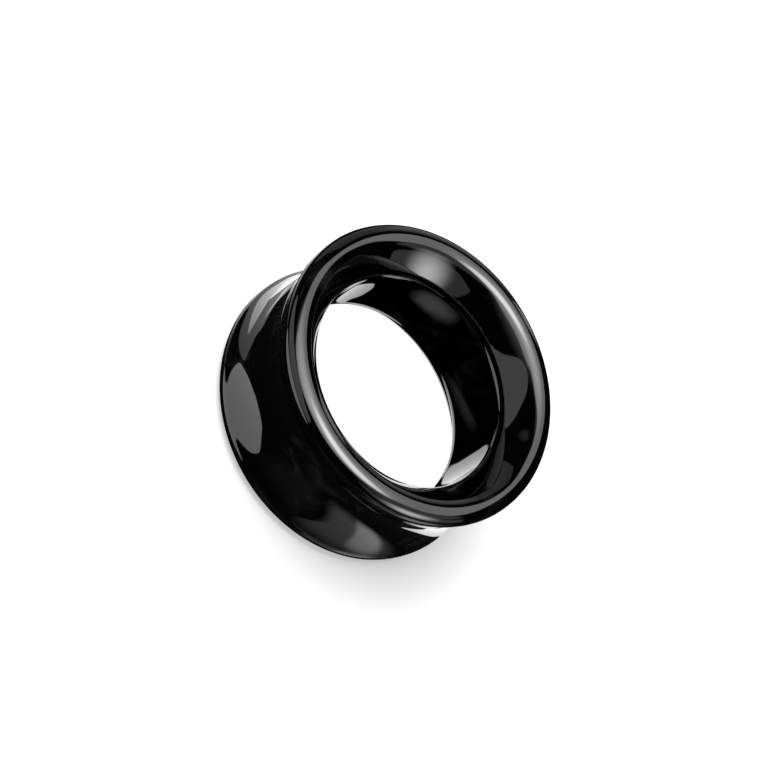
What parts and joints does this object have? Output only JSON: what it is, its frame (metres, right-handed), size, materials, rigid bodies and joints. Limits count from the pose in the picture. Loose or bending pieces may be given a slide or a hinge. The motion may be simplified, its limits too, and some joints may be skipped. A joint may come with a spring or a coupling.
{
  "type": "ear tunnel",
  "caption": "Short ring of polished black stone, worn in a stretched ear lobe: flared and rounded at both rims, hollowed at the waist, with a wide straight bore.",
  "frame": {"origin": "middle of the circle on which the lower rim rests", "axes": "+Z along the bore's axis, from one rim to the other; both ends are alike"},
  "size_m": [0.027, 0.027, 0.0129],
  "materials": {
    "black_stone": "polished to a high gloss all over, with a few faint clouds inside the stone"
  },
  "bodies": {
    "root": {"tunnel_ring": "black_stone"}
  },
  "joints": []
}
